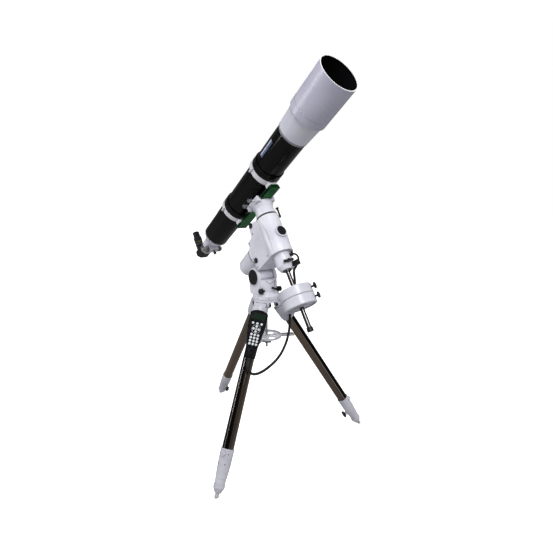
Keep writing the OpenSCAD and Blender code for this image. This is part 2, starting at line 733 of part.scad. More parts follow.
module focuser_body() color("white") tube_frame() difference() {
  union() {
    rod_x(-tail_x - 6, -tail_x - 0.2, tube_r + 1);
    rod_x(-tail_x - 50, -tail_x - 5.9, 41, tube_r - 3);
    rod_x(-tail_x - 108, -tail_x - 49, 33);
    span([focus_x - 16, -24, pinion_z - 12], [focus_x + 16, 24, -20]);
    rod_x(-tail_x - 1, -tail_x + 14, tube_r - 2.05);
  }
  rod_x(-tail_x - 120, -tail_x - 40, draw_r + 0.08);
  rod_x(-tail_x - 41, -tail_x + 15, 38);
  translate([focus_x, 0, pinion_z]) rod_y(-40, 40, 4 + RUN);
  // opening for the pinion
  translate([focus_x, 0, pinion_z]) rod_y(-9, 9, 8.4);
}
module drawtube() color("silver") tube_frame() difference() {
  union() {
    rod_x(-tail_x - 130, -tail_x - 20, draw_r);
    rod_x(-tail_x - 150, -tail_x - 130, draw_r + 4);
  }
  rod_x(-tail_x - 160, -tail_x - 10, 23);
  // flat that carries the rack
  span([-tail_x - 130, -8, -draw_r - 1], [-tail_x - 20, 8, -draw_r + 2]);
}
module focus_knobs() color("gray") tube_frame() translate([focus_x, 0, pinion_z]) {
  rod_y(-48, 48, 4);
  rod_y(-8, 8, 8);
  for (s = [-1, 1]) {
    translate([0, s * 33, 0]) rod_y(-7, 7, 15);
    translate([0, s * 43, 0]) rod_y(-4, 4, 12);
  }
}
module star_diagonal() color("black") tube_frame() difference() {
  union() {
    rod_x(-tail_x - 196, -tail_x - 128, 22.9);
    rotate([90, 0, 0]) translate([0, 0, -22]) linear_extrude(44) {
      polygon([
        [diag_x + 12, -22], [diag_x + 12, 25], [eye_x - 24, 25], [eye_x - 24, 2], [eye_x, -22]
      ]);
    }
    translate([eye_x, 0, 0]) rod_z(24, 58, 20);
  }
  rod_x(-tail_x - 186, -tail_x - 127, 18);
  translate([eye_x, 0, 0]) rod_z(-4, 59, 15.95);
}
module eyepiece() color("black") tube_frame() translate([eye_x, 0, 0]) {
  difference() {
    union() {
      rod_z(32, 60, 15.88);
      rod_z(59, 66, 18, 20.5);
      rod_z(66, 100, 20.5);
      rod_z(100, 128, 18.5, 16.5);
    }
    rod_z(31, 129, 10);
  }
  rod_z(106, 110, 9.95);
}

// ---------- hand controller, hung on the front leg ----------
case_x = leg_r + 15;
case_top = -42;
// The controller is turned this far round the leg
case_turn = 27;
corner_r = 16;
module handset_outline(inset) {
  top_w = 35 - inset;
  low_w = 21 - inset;
  top_z = case_top - inset;
  // rounded head, then sides that draw in towards the cable
  polygon([
    for (i = [0:8]) [top_w * cos(90 - i * 11.25), top_z - corner_r + corner_r * sin(90 - i * 11.25)],
    [top_w - 2, case_top - handset_l * 0.42],
    [low_w + 2, case_top - handset_l * 0.78],
    [low_w, case_top - handset_l + inset],
    [-low_w, case_top - handset_l + inset],
    [-low_w - 2, case_top - handset_l * 0.78],
    [-top_w + 2, case_top - handset_l * 0.42],
    for (i = [8:-1:1]) [-top_w * cos(90 - i * 11.25), top_z - corner_r + corner_r * sin(90 - i * 11.25)]
  ]);
}
// Places a flat outline, drawn as (across, along), beside the leg
module on_leg() {
  leg_frame(FRONT) rotate([0, 0, case_turn]) translate([case_x, 0, 0]) rotate([90, 0, 90]) children();
}
key_r = 4.6;
module at_keys() {
  for (c = [-1, 0, 1]) translate([c * 17, case_top - 54]) children();
  for (a = [0, 90, 180, 270]) translate([0, case_top - 76]) rotate([0, 0, a]) translate([10, 0]) children();
  for (r = [0:3], c = [-1, 0, 1]) translate([c * 13, case_top - 99 - r * 12]) children();
}
module handset_case() color("black") on_leg() difference() {
  linear_extrude(handset_t) handset_outline(0);
  translate([0, 0, 3]) linear_extrude(handset_t - 6) handset_outline(3);
  at_keys() translate([0, 0, handset_t - 5]) cylinder(r = key_r + 0.4, h = 6);
}
module handset_keys() color("lightgray") on_leg() at_keys() translate([0, 0, handset_t - 4]) {
  cylinder(r = key_r, h = 5.5);
}
// Strain relief and the first straight run of the cable
cable_r = 2.6;
module handset_cable() color("black") on_leg() {
  translate([0, case_top - handset_l - 30, handset_t / 2]) rotate([-90, 0, 0]) cylinder(r = cable_r, h = 29);
}

// ---------- assembly ----------
tripod_hub();
hinge_bolts();
centre_rod();
spreader_tray();
tray_knob();
front_leg_socket();
front_leg_tube();
front_leg_clamp();
front_leg_knob();
front_lower_leg();
right_leg_socket();
right_leg_tube();
right_leg_clamp();
right_leg_knob();
right_lower_leg();
rear_leg_socket();
rear_leg_tube();
rear_leg_clamp();
rear_leg_knob();
rear_lower_leg();
azimuth_base();
altitude_caps();
azimuth_bolts();
altitude_bolts();
polar_housing();
polar_end_cap();
ra_worm_wheel();
ra_clutch_lever();
declination_housing();
housing_plugs();
ra_shaft();
ra_worm();
declination_worm();
declination_clutch_lever();
shaft_lock_knob();
declination_head();
declination_shaft();
saddle_clamp();
counterweight_shaft();
toe_stop();
upper_weight();
upper_weight_knob();
lower_weight();
lower_weight_knob();
dovetail_bar();
ring_bases();
front_ring_top();
rear_ring_top();
main_tube();
lens_cell();
objective_lenses();
dew_shield();
focuser_body();
drawtube();
focus_knobs();
star_diagonal();
eyepiece();
handset_case();
handset_keys();
handset_cable();
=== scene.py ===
"""Refractor telescope on an equatorial mount and tripod: materials, fittings, cables, studio."""
import json
import math

import bmesh
import bpy
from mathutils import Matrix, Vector


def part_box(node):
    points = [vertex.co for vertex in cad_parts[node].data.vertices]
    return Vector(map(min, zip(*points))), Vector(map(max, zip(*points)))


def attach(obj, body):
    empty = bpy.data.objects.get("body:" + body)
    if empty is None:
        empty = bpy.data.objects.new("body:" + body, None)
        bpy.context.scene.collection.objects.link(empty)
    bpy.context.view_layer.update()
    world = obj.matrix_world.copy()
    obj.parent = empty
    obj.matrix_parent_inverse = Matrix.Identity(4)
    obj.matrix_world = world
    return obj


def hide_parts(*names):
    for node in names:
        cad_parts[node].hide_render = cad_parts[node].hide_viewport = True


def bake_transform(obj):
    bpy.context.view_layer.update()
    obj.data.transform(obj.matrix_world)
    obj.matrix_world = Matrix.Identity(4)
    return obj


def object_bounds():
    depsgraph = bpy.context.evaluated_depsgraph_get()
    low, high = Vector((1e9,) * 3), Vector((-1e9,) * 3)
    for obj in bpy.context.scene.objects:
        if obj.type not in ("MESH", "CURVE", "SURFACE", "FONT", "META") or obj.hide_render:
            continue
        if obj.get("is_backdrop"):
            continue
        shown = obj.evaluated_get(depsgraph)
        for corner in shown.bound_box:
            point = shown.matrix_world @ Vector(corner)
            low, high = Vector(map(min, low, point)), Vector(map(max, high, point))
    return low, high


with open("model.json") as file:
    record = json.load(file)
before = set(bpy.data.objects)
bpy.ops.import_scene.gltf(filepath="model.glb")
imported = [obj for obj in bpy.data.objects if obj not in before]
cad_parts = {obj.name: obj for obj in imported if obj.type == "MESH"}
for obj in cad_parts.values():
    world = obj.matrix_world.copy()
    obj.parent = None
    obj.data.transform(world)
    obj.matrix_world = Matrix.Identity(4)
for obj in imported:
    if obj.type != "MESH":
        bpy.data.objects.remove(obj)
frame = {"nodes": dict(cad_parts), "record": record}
cad_lo, cad_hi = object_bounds()
MM = 0.001
NODES = frame["nodes"]
JOINT = {j["name"]: j for j in frame["record"]["behaviour"]["joints"]}
MOUNT = {m["name"]: m for m in frame["record"]["mounts"]}
Y = Vector((0, 1, 0))
Z = Vector((0, 0, 1))

# ---------- frames of the mount's parts, read from the joints ----------
# CROSS is where the two mount axes meet; P is the polar axis, Q the declination axis
CROSS = Vector(JOINT["right_ascension"]["pos_m"])
P = Vector(JOINT["right_ascension"]["axis"]).normalized()
Q = Vector(JOINT["declination_turn"]["axis"]).normalized()
MOUTH = Vector(MOUNT["dew_shield_mouth"]["pos_m"]) - CROSS
TUBE_H = MOUTH.dot(Q)
RIM_X = MOUTH.dot(P) + 1.5 * MM
LEG_SIDES = ("front", "right", "rear")
LEG_OFFSET = 13 * MM
# the side of the legs that looks at the camera
FACING = Vector((0.81, -0.58, 0.0))


def head(x, y, z):
    """Point in the head's frame, millimetres: x along the polar axis, z along the other."""
    return CROSS + P * (x * MM) + Y * (y * MM) + Q * (z * MM)


def tube(x, y, z):
    """Point in the optical tube's frame, millimetres."""
    return head(x, y, z) + Q * TUBE_H


def leg_axes(side):
    """(origin, outward, sideways, up) of a leg, from its hinge and its extension joint."""
    up = -Vector(JOINT[side + "_leg_extend"]["axis"]).normalized()
    across = Vector(JOINT[side + "_leg_fold"]["axis"]).normalized()
    out = across.cross(up)
    return Vector(JOINT[side + "_leg_fold"]["pos_m"]) + out * LEG_OFFSET, out, across, up


def leg(side, x, y, z):
    """Point in a leg's frame, millimetres."""
    o, out, across, up = leg_axes(side)
    return o + out * (x * MM) + across * (y * MM) + up * (z * MM)


# ---------- shader building blocks ----------
class Shader:
    """A node tree with short names for the nodes this script uses."""

    def __init__(self, name):
        self.mat = bpy.data.materials.new(name)
        self.mat.use_nodes = True
        self.t = self.mat.node_tree
        self.t.nodes.clear()
        self.out = self.t.nodes.new("ShaderNodeOutputMaterial")
        self.bsdf = self.t.nodes.new("ShaderNodeBsdfPrincipled")
        self.t.links.new(self.bsdf.outputs[0], self.out.inputs[0])
        self.coord = self.t.nodes.new("ShaderNodeTexCoord").outputs["Object"]

    def link(self, a, b):
        """Sets an input from a number, a colour or vector, or another node's output."""
        if isinstance(a, (int, float)):
            b.default_value = a
        elif isinstance(a, (tuple, list, Vector)):
            opaque = (1.0,) if len(a) == 3 and len(b.default_value) == 4 else ()
            b.default_value = tuple(a) + opaque
        else:
            self.t.links.new(a, b)

    def math(self, op, a, b=0.0, c=0.0):
        n = self.t.nodes.new("ShaderNodeMath")
        n.operation = op
        for i, v in enumerate((a, b, c)):
            self.link(v, n.inputs[i])
        return n.outputs[0]

    def vmath(self, op, a, b):
        n = self.t.nodes.new("ShaderNodeVectorMath")
        n.operation = op
        self.link(a, n.inputs[0])
        self.link(b, n.inputs[1])
        return n

    def noise(self, scale, detail=3.0, rough=0.5, stretch=None):
        n = self.t.nodes.new("ShaderNodeTexNoise")
        n.inputs["Scale"].default_value = scale
        n.inputs["Detail"].default_value = detail
        n.inputs["Roughness"].default_value = rough
        vec = self.coord
        if stretch is not None:
            # squeezes the pattern along one direction, so the grain runs that way
            along = self.vmath("DOT_PRODUCT", vec, stretch).outputs["Value"]
            scaled = self.t.nodes.new("ShaderNodeVectorMath")
            scaled.operation = "SCALE"
            self.link(tuple(stretch), scaled.inputs[0])
            self.link(self.math("MULTIPLY", along, 0.97), scaled.inputs["Scale"])
            vec = self.vmath("SUBTRACT", vec, scaled.outputs[0]).outputs[0]
        self.t.links.new(vec, n.inputs["Vector"])
        return n.outputs["Fac"]

    def ramp(self, fac, lo, hi, a=0.0, b=1.0):
        n = self.t.nodes.new("ShaderNodeMapRange")
        self.link(fac, n.inputs["Value"])
        for key, v in (("From Min", lo), ("From Max", hi), ("To Min", a), ("To Max", b)):
            n.inputs[key].default_value = v
        return n.outputs[0]

    def mix(self, fac, a, b):
        n = self.t.nodes.new("ShaderNodeMix")
        n.data_type = "RGBA"
        self.link(fac, n.inputs[0])
        self.link(a, n.inputs[6])
        self.link(b, n.inputs[7])
        return n.outputs[2]

    def radius(self, point, axis):
        """Distance from an axis."""
        rel = self.vmath("SUBTRACT", self.coord, tuple(point)).outputs[0]
        across = self.vmath("CROSS_PRODUCT", rel, tuple(axis)).outputs[0]
        return self.vmath("LENGTH", across, (0, 0, 0)).outputs["Value"]

    def along(self, point, axis):
        """Distance from a point along an axis."""
        rel = self.vmath("SUBTRACT", self.coord, tuple(point)).outputs[0]
        return self.vmath("DOT_PRODUCT", rel, tuple(axis)).outputs["Value"]

    def turn(self, point, e1, e2):
        """Angle round a point, in turns."""
        angle = self.math("ARCTAN2", self.along(point, e2), self.along(point, e1))
        return self.math("DIVIDE", angle, 2 * math.pi)

    def band(self, value, lo, hi, soft=0.0003):
        """1 where value lies between lo and hi."""
        rise = self.ramp(value, lo, lo + soft)
        fall = self.ramp(value, hi, hi + soft, 1.0, 0.0)
        return self.math("MULTIPLY", rise, fall)

    def finish(self, color, rough, metal=0.0, coat=0.0, bump=(), edge=0.0012, spec=0.5,
               coat_rough=0.08):
        """Fills the surface shader: edge is the radius of softened edges, in metres."""
        b = self.bsdf.inputs
        self.link(color, b["Base Color"])
        self.link(rough, b["Roughness"])
        self.link(metal, b["Metallic"])
        self.link(coat, b["Coat Weight"])
        b["Coat Roughness"].default_value = coat_rough
        self.link(spec, b["Specular IOR Level"])
        normal = None
        if edge:
            n = self.t.nodes.new("ShaderNodeBevel")
            n.samples = 4
            n.inputs["Radius"].default_value = edge
            normal = n.outputs[0]
        for height, strength, dist in bump:
            n = self.t.nodes.new("ShaderNodeBump")
            n.inputs["Strength"].default_value = strength
            n.inputs["Distance"].default_value = dist
            self.link(height, n.inputs["Height"])
            if normal is not None:
                self.t.links.new(normal, n.inputs["Normal"])
            normal = n.outputs[0]
        if normal is not None:
            self.t.links.new(normal, b["Normal"])
            self.t.links.new(normal, b["Coat Normal"])
        return self.mat


def painted_recess_shade(s, color, dark, reach=0.02, amount=0.5):
    """Painted shade: darkens a colour in recesses, found by ambient occlusion."""
    n = s.t.nodes.new("ShaderNodeAmbientOcclusion")
    n.samples = 4
    n.inputs["Distance"].default_value = reach
    depth = s.ramp(n.outputs["AO"], 0.35, 0.95, 1.0, 0.0)
    return s.mix(s.math("MULTIPLY", depth, amount), color, dark)


def enamel(name, base, shade, rough=0.32, grain=0.05):
    """Sprayed enamel over a cast or rolled surface."""
    s = Shader(name)
    cloud = s.noise(14, 4)
    col = s.mix(s.ramp(cloud, 0.35, 0.7), base, shade)
    # painted shade: the enamel is darker in recesses
    col = painted_recess_shade(s, col, tuple(c * 0.45 for c in shade))
    r = s.ramp(s.noise(60, 3), 0.3, 0.7, rough - 0.05, rough + 0.08)
    return s.finish(col, r, coat=0.35, coat_rough=0.18,
                    bump=((s.noise(900, 2), grain, 0.0004), (cloud, 0.03, 0.002)))


WHITE = (0.76, 0.76, 0.83)
LILAC = (0.63, 0.63, 0.73)
FLAT_BLACK = (0.006, 0.006, 0.006)
TUBE_AXIS = (tube(0, 0, 0), P)


def dew_paint():
    """Pearl white outside, flat black inside the mouth, with a bright lip that is a painted highlight.
    """
    s = Shader("dew_shield_pearl")
    r = s.radius(*TUBE_AXIS)
    inside = s.ramp(r, 0.0709, 0.0714, 1.0, 0.0)
    lip = s.band(s.along(*TUBE_AXIS), RIM_X - 0.0006, RIM_X + 0.01)
    cloud = s.noise(9, 3)
    pearl = s.mix(s.ramp(cloud, 0.3, 0.75), (0.55, 0.54, 0.65), (0.46, 0.45, 0.57))
    col = s.mix(inside, pearl, (0.006, 0.006, 0.007))
    # painted highlight: the lip is brighter than the rest of the shield
    col = s.mix(lip, col, (0.85, 0.85, 0.88))
    rough = s.math("ADD", s.ramp(s.noise(30, 2), 0.3, 0.7, 0.26, 0.3), s.math("MULTIPLY", inside, 0.7))
    half_outside = s.math("MULTIPLY", s.math("SUBTRACT", 1.0, inside), 0.5)
    return s.finish(col, rough, coat=half_outside, coat_rough=0.3,
                    bump=((s.noise(900, 2), 0.02, 0.0002),), edge=0, spec=half_outside)


def cell_paint():
    """White lens cell, black inside, with the fine machined rings of the step."""
    s = Shader("lens_cell_paint")
    r = s.radius(*TUBE_AXIS)
    inside = s.ramp(r, 0.0611, 0.0613, 1.0, 0.0)
    col = s.mix(s.ramp(s.noise(12, 3), 0.3, 0.7), WHITE, LILAC)
    col = s.mix(inside, col, FLAT_BLACK)
    ring = s.math("SINE", s.math("MULTIPLY", s.along(*TUBE_AXIS), 2 * math.pi / 0.0012))
    outside = s.math("SUBTRACT", 1.0, inside)
    return s.finish(col, s.math("MULTIPLY_ADD", inside, 0.6, 0.3),
                    coat=s.math("MULTIPLY", outside, 0.4),
                    bump=((s.noise(800, 2), 0.03, 0.0003), (ring, 0.02, 0.0001)),
                    spec=s.math("MULTIPLY", outside, 0.5))


def tube_paint():
    """Black gloss with fine flake, and two plain pale stripes instead of any lettering."""
    s = Shader("tube_black_gloss")
    flake = s.noise(2600, 1)
    col = s.mix(s.ramp(flake, 0.62, 0.8), (0.0030, 0.0025, 0.0025), (0.016, 0.014, 0.016))
    x = s.along(*TUBE_AXIS)
    turn = s.turn(TUBE_AXIS[0], -Y, Q)
    strength = s.math("MULTIPLY_ADD", s.ramp(s.noise(55, 2), 0.44, 0.5), 0.25, 0.7)
    pale_blue = (0.55, 0.58, 0.68)
    deep_blue = (0.12, 0.18, 0.36)
    for lo, hi, tint in ((0.022, 0.047, pale_blue), (-0.002, 0.014, deep_blue)):
        mark = s.math("MULTIPLY", s.band(x, 0.167, 0.249), s.band(turn, lo, hi, 0.002))
        col = s.mix(s.math("MULTIPLY", mark, strength), col, tint)
    rough = s.ramp(s.noise(40, 3), 0.3, 0.7, 0.13, 0.2)
    return s.finish(col, rough, coat=0.2, coat_rough=0.05, edge=0.0006, spec=0.07,
                    bump=((s.noise(1500, 2), 0.02, 0.0002), (s.noise(6, 2), 0.02, 0.004)))


def ring_paint():
    """White tube ring, with the felt lining dark on its inner face."""
    s = Shader("ring_paint")
    col = s.mix(s.ramp(s.noise(20, 3), 0.3, 0.7), (0.82, 0.82, 0.86), (0.66, 0.66, 0.73))
    r = s.radius(*TUBE_AXIS)
    felt = s.ramp(r, 0.0602, 0.0605, 1.0, 0.0)
    # the felt is dark; over it, painted shade darkens the ring in its recesses
    col = painted_recess_shade(s, s.mix(felt, col, (0.01, 0.01, 0.01)), (0.25, 0.25, 0.3), 0.008, 0.7)
    return s.finish(col, s.math("MULTIPLY_ADD", felt, 0.6, 0.28), coat=0.4,
                    bump=((s.noise(1000, 2), 0.04, 0.0003),))


def metal(name, base, dark, rough, grain_dir=None, grain=0.04):
    """Bare or anodised metal, its grain drawn out along grain_dir."""
    s = Shader(name)
    streak = s.noise(500, 2, stretch=grain_dir)
    cloud = s.noise(25, 3)
    col = s.mix(s.ramp(cloud, 0.3, 0.75), base, dark)
    r = s.ramp(streak, 0.25, 0.75, rough * 0.75, rough * 1.35)
    return s.finish(col, r, metal=1.0, bump=((streak, grain, 0.0002),), edge=0.0008)


def leg_steel(side, sheen, glint):
    """Plated leg tube with painted reflections in its colour: a warm painted sheen between two places
    round it, dark elsewhere, and one pale painted glint.
    """
    o, out, across, up = leg_axes(side)
    s = Shader(side + "_leg_steel")
    front = (FACING - up * FACING.dot(up)).normalized()
    # the painted reflections come twice round the tube, so the back looks like the front
    half_turn = s.math("MULTIPLY_ADD", s.turn(o, front, up.cross(front)), 2.0, 10.5)
    wobble = s.math("MULTIPLY_ADD", s.noise(5, 2, stretch=up), 0.05, half_turn)
    place = s.math("SUBTRACT", s.math("FRACT", wobble), 0.5)
    streak = s.noise(420, 2, stretch=up)
    warm = s.mix(s.ramp(s.noise(3, 3), 0.35, 0.65), (0.19, 0.145, 0.105), (0.15, 0.115, 0.09))
    # painted reflection: a warm sheen band on a dark ground, placed from the camera's side
    col = s.mix(s.band(place, sheen[0], sheen[1], 0.05), (0.012, 0.010, 0.010), warm)
    # painted glint: a pale streak
    col = s.mix(s.band(place, glint, glint + 0.03, 0.015), col, (0.60, 0.56, 0.52))
    r = s.ramp(streak, 0.25, 0.75, 0.2, 0.3)
    return s.finish(col, r, metal=1.0, bump=((streak, 0.008, 0.0002),), edge=0.0005)


def plastic(name, base, rough=0.42, grain=0.12, scale=1400, edge=0.0012, spec=0.35):
    """Moulded plastic, rubber or felt, slightly worn in patches."""
    s = Shader(name)
    worn = tuple(min(1.0, c * 2.2 + 0.01) for c in base)
    col = s.mix(s.ramp(s.noise(90, 4), 0.5, 0.8), base, worn)
    r = s.ramp(s.noise(120, 2), 0.3, 0.7, rough - 0.06, rough + 0.1)
    return s.finish(col, r, bump=((s.noise(scale, 2), grain, 0.0003),), edge=edge, spec=spec)


def knurl(name, base, rough, point, axis, count=60, metallic=0.0):
    """Straight knurl round an axis, on a grip, with painted shade in the grooves."""
    s = Shader(name)
    e1 = axis.orthogonal().normalized()
    round_it = s.turn(point, e1, axis.cross(e1))
    ridge = s.math("SINE", s.math("MULTIPLY", round_it, 2 * math.pi * count))
    # painted shade: the grooves are half as bright as the ridges
    col = s.mix(s.ramp(ridge, -1, 1), tuple(c * 0.5 for c in base), base)
    return s.finish(col, rough, metal=metallic, edge=0,
                    bump=((ridge, 0.5, 0.0006), (s.noise(900, 2), 0.05, 0.0002)))


def scale_ring(name, point, axis, count, base, ink):
    """Graduated circle: short ticks and a longer one at every fifth place."""
    s = Shader(name)
    e1 = axis.orthogonal().normalized()
    t = s.turn(point, e1, axis.cross(e1))
    fine = s.math("LESS_THAN", s.math("FRACT", s.math("MULTIPLY_ADD", t, count, 100)), 0.22)
    coarse = s.math("LESS_THAN", s.math("FRACT", s.math("MULTIPLY_ADD", t, count / 5, 100)), 0.07)
    short = s.math("LESS_THAN", s.along(point, axis), 0.0016)
    mark = s.math("MAXIMUM", s.math("MULTIPLY", fine, short), coarse)
    return s.finish(s.mix(mark, base, ink), 0.4, edge=0,
                    bump=((s.noise(900, 2), 0.04, 0.0002), (mark, 0.1, 0.0002)))


def turned(name, base, shade, point, axis, metallic, rough, pitch=0.0011, depth=0.03):
    """Lathe-turned surface: fine rings round an axis."""
    s = Shader(name)
    r = s.math("ADD", s.radius(point, axis), s.along(point, axis))
    groove = s.math("SINE", s.math("MULTIPLY", r, 2 * math.pi / pitch))
    col = s.mix(s.ramp(s.noise(18, 4), 0.35, 0.7), base, shade)
    # painted shade: darker in recesses
    col = painted_recess_shade(s, col, tuple(c * 0.4 for c in shade), 0.015, 0.4)
    dark = max(base) < 0.1
    return s.finish(col, rough, metal=metallic, coat=0.0 if metallic or dark else 0.35,
                    coat_rough=0.2, spec=0.15 if dark else 0.5,
                    bump=((groove, depth, 0.0002), (s.noise(800, 2), 0.04, 0.0003)))


def glass(name, tint):
    """Coated lens glass."""
    s = Shader(name)
    col = s.mix(s.ramp(s.noise(8, 2), 0.4, 0.6), tint, tuple(c * 0.9 for c in tint))
    m = s.finish(col, 0.02, coat=1.0, coat_rough=0.02, edge=0)
    s.bsdf.inputs["Transmission Weight"].default_value = 0.55
    s.bsdf.inputs["IOR"].default_value = 1.5
    return m


M = {
    "paint": enamel("mount_enamel", WHITE, LILAC),
    "silver": enamel("silver_enamel", (0.60, 0.60, 0.66), (0.48, 0.48, 0.55), 0.3, 0.03),
    "foot": enamel("foot_enamel", (0.56, 0.56, 0.62), (0.42, 0.42, 0.48), 0.4, 0.08),
    "dew": dew_paint(),
    "cell": cell_paint(),
    "tube": tube_paint(),
    "ring": ring_paint(),
    "green": metal("green_anodised", (0.008, 0.15, 0.032), (0.004, 0.08, 0.016), 0.3,
                   tuple(P), 0.06),
    "steel": metal("turned_steel", (0.55, 0.55, 0.56), (0.4, 0.4, 0.42), 0.28),
    "brass": metal("worm_bronze", (0.55, 0.38, 0.15), (0.42, 0.28, 0.1), 0.3),
    "chrome": metal("shaft_chrome", (0.16, 0.15, 0.15), (0.07, 0.065, 0.06), 0.16,
                    tuple(Q), 0.03),
    "drawtube": metal("drawtube_chrome", (0.6, 0.6, 0.62), (0.45, 0.45, 0.47), 0.18,
                      tuple(P), 0.03),
    "knob": plastic("knob_black", (0.009, 0.009, 0.010), 0.34, 0.1),
    "rubber": plastic("rubber_black", (0.008, 0.008, 0.008), 0.6, 0.25, 800),
    "case": plastic("handset_shell", (0.005, 0.005, 0.006), 0.5, 0.3, 2200, spec=0.03),
    "keys": plastic("key_grey", (0.62, 0.65, 0.68), 0.5, 0.08),
    "cap": turned("altitude_disc", (0.008, 0.008, 0.010), (0.016, 0.016, 0.02),
                  Vector(JOINT["altitude_tilt"]["pos_m"]), Y, 0.0, 0.36, 0.0022, 0.12),
    "weight": turned("weight_enamel", (0.66, 0.66, 0.73), (0.54, 0.54, 0.62),
                     head(0, 0, 0), Q, 0.0, 0.42, 0.0016, 0.05),
    "glass": glass("coated_glass", (0.30, 0.42, 0.40)),
    "optics": plastic("eyepiece_anodised", (0.006, 0.006, 0.007), 0.25, 0.05, spec=0.2),
    "diagonal": plastic("diagonal_enamel", (0.006, 0.005, 0.006), 0.3, 0.25, 1100,
                        spec=0.2),
    "aluminium": turned("focus_aluminium", (0.50, 0.46, 0.46), (0.34, 0.30, 0.30),
                        Vector(JOINT["focus_knob_turn"]["pos_m"]), Y, 1.0, 0.3, 0.0014, 0.1),
    "felt": plastic("felt_black", (0.012, 0.012, 0.012), 0.95, 0.6, 1800, 0),
}
# each leg's painted sheen (from, to) and painted glint, in turns of the pattern from the camera's side
PAINTED_SHEEN = {
    "front": ((0.02, 0.38), -0.22),
    "right": ((-0.46, 0.08), 0.13),
    "rear": ((-0.44, 0.34), 0.40),
}
for side in LEG_SIDES:
    M[side + "_steel"] = leg_steel(side, *PAINTED_SHEEN[side])

# material of each CAD node
LOOK = {
    "paint": "tripod_hub azimuth_base polar_housing polar_end_cap declination_housing "
             "declination_head saddle_clamp focuser_body",
    "knob": "hinge_bolts azimuth_bolts altitude_bolts toe_stop tray_knob front_leg_knob "
            "right_leg_knob rear_leg_knob ra_clutch_lever declination_clutch_lever "
            "shaft_lock_knob upper_weight_knob lower_weight_knob housing_plugs",
    "foot": " ".join(f"{s}_leg_clamp {s}_lower_leg" for s in LEG_SIDES),
    "silver": "spreader_tray " + " ".join(s + "_leg_socket" for s in LEG_SIDES),
    "steel": "centre_rod ra_worm declination_worm ra_shaft declination_shaft",
    "cap": "altitude_caps",
    "brass": "ra_worm_wheel",
    "chrome": "counterweight_shaft",
    "weight": "upper_weight lower_weight",
    "green": "dovetail_bar",
    "ring": "ring_bases front_ring_top rear_ring_top",
    "tube": "main_tube",
    "cell": "lens_cell",
    "glass": "objective_lenses",
    "dew": "dew_shield",
    "drawtube": "drawtube",
    "aluminium": "focus_knobs",
    "diagonal": "star_diagonal",
    "optics": "eyepiece",
    "case": "handset_case",
    "keys": "handset_keys",
    "rubber": "handset_cable",
}
SMOOTH_ANGLE = math.radians(32)


def dress(obj, material):
    obj.data.materials.clear()
    obj.data.materials.append(material)


for key, names in LOOK.items():
    for n in names.split():
        dress(NODES[n], M[key])
for side in LEG_SIDES:
    dress(NODES[side + "_leg_tube"], M[side + "_steel"])


# ---------- mesh tools ----------
def make(name, bm, material, body, ride=True):
    """Object from a bmesh, riding on a body and filling one of its material slots."""
    me = bpy.data.meshes.new(name)
    bmesh.ops.recalc_face_normals(bm, faces=bm.faces)
    bm.to_mesh(me)
    bm.free()
    me.shade_smooth()
    me.set_sharp_from_angle(angle=SMOOTH_ANGLE)
    obj = bpy.data.objects.new(name, me)
    bpy.context.scene.collection.objects.link(obj)
    me.materials.append(material)
    if ride:
        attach(obj, body)
    return obj


def lathe(bm, profile, origin, axis, segments=48):
    """Closed turned form: profile holds (radius, height) pairs in millimetres along the axis."""
    axis = axis.normalized()
    e1 = axis.orthogonal().normalized()
    e2 = axis.cross(e1)
    rings = []
    for r, h in profile:
        c = origin + axis * (h * MM)
        if r == 0:
            rings.append([bm.verts.new(c)])
            continue
        turns = [2 * math.pi * i / segments for i in range(segments)]
        rings.append([bm.verts.new(c + (e1 * math.cos(a) + e2 * math.sin(a)) * (r * MM))
                      for a in turns])
    for a, b in zip(rings, rings[1:]):
        for i in range(segments):
            j = (i + 1) % segments
            quad = [a[i % len(a)], a[j % len(a)], b[j % len(b)], b[i % len(b)]]
            quad = [v for k, v in enumerate(quad) if v not in quad[:k]]
            if len(quad) > 2:
                bm.faces.new(quad)


def turned_piece(name, profile, origin, axis, material, body, segments=64):
    """Object of one turned form."""
    bm = bmesh.new()
    lathe(bm, profile, origin, axis, segments)
    return make(name, bm, material, body)


def band_profile(r_in, r_out, h0, h1, edge=0.4):
    """Ring with a rectangular section and softened outer edges."""
    return [(r_in, h0), (r_out - edge, h0), (r_out, h0 + edge), (r_out, h1 - edge),
            (r_out - edge, h1), (r_in, h1), (r_in, h0)]


def screws(name, places, material, body):
    """Socket-head screws: places holds (point, axis, radius in millimetres)."""
    bm = bmesh.new()
    for point, axis, r in places:
        top = 0.9 * r
        socket = 0.2 * r
        prof = [(0, -1.0), (r, -1.0), (r, 0.7 * r), (0.85 * r, top), (0.5 * r, top),
                (0.45 * r, socket), (0, socket)]
        lathe(bm, prof, point, axis, 18)
    return make(name, bm, material, body)


def smooth_path(points, steps=10):
    """Catmull-Rom curve through the points."""
    pts = [points[0] * 2 - points[1]] + list(points) + [points[-1] * 2 - points[-2]]
    out = []
    for i in range(1, len(pts) - 2):
        a, b, c, d = pts[i - 1:i + 3]
        for k in range(steps):
            t = k / steps
            square = (2 * a - 5 * b + 4 * c - d) * t * t
            cube = (3 * b - a - 3 * c + d) * t ** 3
            out.append(0.5 * (2 * b + (c - a) * t + square + cube))
    out.append(points[-1].copy())
    return out


def sweep(bm, path, radius, sides=14):
    """Round cable along a path, with closed ends."""
    last = len(path) - 1
    tangents = [(path[min(i + 1, last)] - path[max(i - 1, 0)]).normalized()
                for i in range(len(path))]
    side = tangents[0].orthogonal().normalized()
    rings = []
    for c, t in zip(path, tangents):
        side = (side - t * side.dot(t)).normalized()
        up = t.cross(side)
        rings.append([bm.verts.new(c + (side * math.cos(a) + up * math.sin(a)) * radius)
                      for a in (2 * math.pi * k / sides for k in range(sides))])
    for a, b in zip(rings, rings[1:]):
        for i in range(sides):
            j = (i + 1) % sides
            bm.faces.new((a[i], a[j], b[j], b[i]))
    bm.faces.new(rings[0])
    bm.faces.new(rings[-1])


